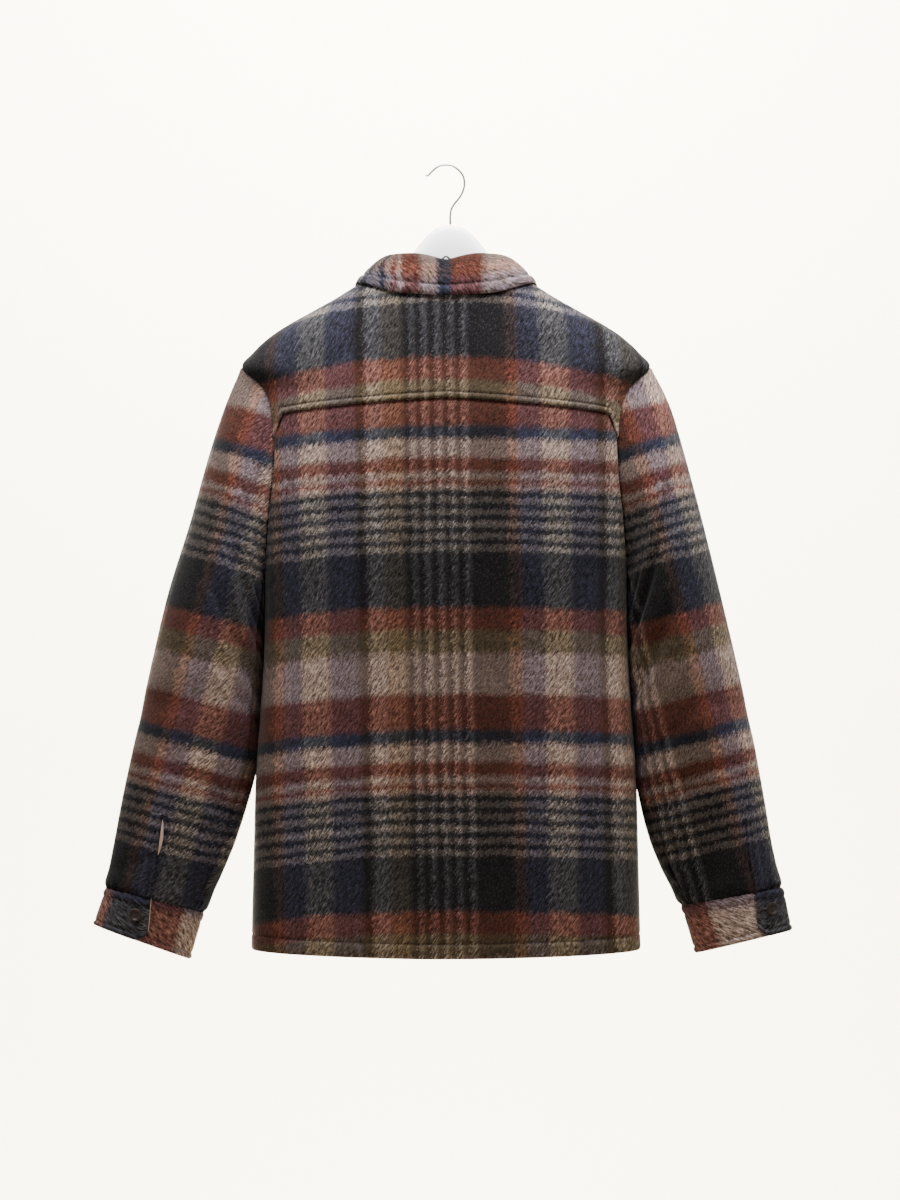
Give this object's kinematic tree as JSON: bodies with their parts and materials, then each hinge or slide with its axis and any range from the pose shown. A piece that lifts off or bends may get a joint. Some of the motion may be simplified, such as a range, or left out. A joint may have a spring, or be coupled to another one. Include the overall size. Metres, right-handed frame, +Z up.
{
  "type": "shacket on a hanger",
  "caption": "Checked wool overshirt jacket with a lapped back yoke, folded collar and buttoned cuffs, hanging open at neck and hem on a moulded hanger with a wire hook.",
  "frame": {"origin": "underside of the hook's bend, where a rail carries the hanger", "axes": "+Z up along the hanging line, +Y out of the garment's front, -Y out of its back, +X towards the wearer's right"},
  "size_m": [0.7718, 0.1915, 0.878],
  "materials": {
    "wool": "brushed heavy wool twill in a woven check, felted and matt, with a short nap",
    "button": "dark brown marbled resin with a soft polish",
    "steel": "bright plated steel wire",
    "plastic": "smooth glossy white moulding",
    "tape": "narrow dark woven tape"
  },
  "bodies": {
    "root": {"back_yoke": "wool", "back_panel": "wool", "front_left": "wool", "front_right": "wool", "collar_stand": "wool", "collar_fall": "wool", "sleeve_left": "wool", "sleeve_right": "wool", "cuff_left": "wool", "cuff_right": "wool", "cuff_placket_left": "wool", "cuff_placket_right": "wool", "cuff_button_left": "button", "cuff_button_right": "button", "front_button_1": "button", "front_button_2": "button", "front_button_3": "button", "front_button_4": "button", "front_button_5": "button", "front_button_6": "button", "hanger_hook": "steel", "hanger_body": "plastic", "hang_loop": "tape"}
  },
  "joints": []
}
